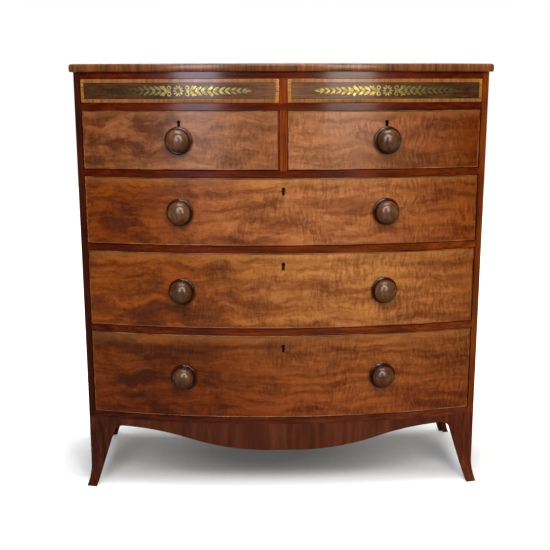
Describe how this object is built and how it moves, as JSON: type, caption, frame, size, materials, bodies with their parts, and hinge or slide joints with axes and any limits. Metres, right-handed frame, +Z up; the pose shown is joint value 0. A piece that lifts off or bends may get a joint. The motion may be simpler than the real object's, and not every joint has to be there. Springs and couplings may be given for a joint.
{
  "type": "chest of drawers",
  "caption": "Bow-fronted wooden chest with drawers of graded depth, turned knobs, locks, a shallow inlaid frieze tier, a shaped apron and splayed bracket feet.",
  "frame": {"origin": "on the floor, under the middle of the bounding box of the whole piece", "axes": "+Z up, the bowed front faces -Y, +X to the right as seen from the front"},
  "size_m": [1.024, 0.4478, 1.076],
  "materials": {
    "case_mahogany": "polished mahogany",
    "base_mahogany": "polished mahogany",
    "top_mahogany": "polished, crossbanded mahogany",
    "front_mahogany": "polished figured mahogany veneer",
    "frieze_rosewood": "rosewood veneer with a satinwood border and brass inlay",
    "drawer_oak": "plain oak",
    "pine": "plain pine",
    "brass": "dull brass",
    "steel": "plain iron or steel"
  },
  "bodies": {
    "carcass": {"apron": "base_mahogany", "backboards": "pine", "base_rail": "case_mahogany", "bottom_board": "pine", "drawer_divider": "case_mahogany", "drawer_guides": "pine", "drawer_runners": "pine", "drawer_stops": "pine", "dustboards": "pine", "feet": "base_mahogany", "foot_blocks": "pine", "frieze_divider": "case_mahogany", "frieze_rail": "case_mahogany", "lower_rail": "case_mahogany", "middle_rail": "case_mahogany", "side_aprons": "base_mahogany", "side_left": "case_mahogany", "side_right": "case_mahogany", "top_board": "top_mahogany", "top_rail": "case_mahogany", "upper_rail": "case_mahogany"},
    "long_bottom_drawer": {"long_bottom_front": "front_mahogany", "long_bottom_box": "drawer_oak", "long_bottom_bottom": "drawer_oak", "long_bottom_lock": "brass"},
    "long_middle_drawer": {"long_middle_front": "front_mahogany", "long_middle_box": "drawer_oak", "long_middle_bottom": "drawer_oak", "long_middle_lock": "brass"},
    "long_top_drawer": {"long_top_front": "front_mahogany", "long_top_box": "drawer_oak", "long_top_bottom": "drawer_oak", "long_top_lock": "brass"},
    "short_left_drawer": {"short_left_front": "front_mahogany", "short_left_box": "drawer_oak", "short_left_bottom": "drawer_oak", "short_left_lock": "brass"},
    "short_right_drawer": {"short_right_front": "front_mahogany", "short_right_box": "drawer_oak", "short_right_bottom": "drawer_oak", "short_right_lock": "brass"},
    "frieze_left_drawer": {"frieze_left_front": "frieze_rosewood", "frieze_left_box": "drawer_oak", "frieze_left_bottom": "drawer_oak"},
    "frieze_right_drawer": {"frieze_right_front": "frieze_rosewood", "frieze_right_box": "drawer_oak", "frieze_right_bottom": "drawer_oak"},
    "long_bottom_bolt": {"long_bottom_bolt": "steel"},
    "long_middle_bolt": {"long_middle_bolt": "steel"},
    "long_top_bolt": {"long_top_bolt": "steel"},
    "short_left_bolt": {"short_left_bolt": "steel"},
    "short_right_bolt": {"short_right_bolt": "steel"}
  },
  "joints": [
    {"name": "long_bottom_slide", "type": "slide", "parent": "carcass", "child": "long_bottom_drawer", "axis": [0, -1, 0], "range_m": [0, 0.24]},
    {"name": "long_middle_slide", "type": "slide", "parent": "carcass", "child": "long_middle_drawer", "axis": [0, -1, 0], "range_m": [0, 0.24]},
    {"name": "long_top_slide", "type": "slide", "parent": "carcass", "child": "long_top_drawer", "axis": [0, -1, 0], "range_m": [0, 0.24]},
    {"name": "short_left_slide", "type": "slide", "parent": "carcass", "child": "short_left_drawer", "axis": [0, -1, 0], "range_m": [0, 0.24]},
    {"name": "short_right_slide", "type": "slide", "parent": "carcass", "child": "short_right_drawer", "axis": [0, -1, 0], "range_m": [0, 0.24]},
    {"name": "frieze_left_slide", "type": "slide", "parent": "carcass", "child": "frieze_left_drawer", "axis": [0, -1, 0], "range_m": [0, 0.24]},
    {"name": "frieze_right_slide", "type": "slide", "parent": "carcass", "child": "frieze_right_drawer", "axis": [0, -1, 0], "range_m": [0, 0.24]},
    {"name": "long_bottom_lock_throw", "type": "slide", "parent": "long_bottom_drawer", "child": "long_bottom_bolt", "axis": [0, 0, 1], "range_m": [0, 0.008]},
    {"name": "long_middle_lock_throw", "type": "slide", "parent": "long_middle_drawer", "child": "long_middle_bolt", "axis": [0, 0, 1], "range_m": [0, 0.008]},
    {"name": "long_top_lock_throw", "type": "slide", "parent": "long_top_drawer", "child": "long_top_bolt", "axis": [0, 0, 1], "range_m": [0, 0.008]},
    {"name": "short_left_lock_throw", "type": "slide", "parent": "short_left_drawer", "child": "short_left_bolt", "axis": [0, 0, 1], "range_m": [0, 0.008]},
    {"name": "short_right_lock_throw", "type": "slide", "parent": "short_right_drawer", "child": "short_right_bolt", "axis": [0, 0, 1], "range_m": [0, 0.008]}
  ]
}
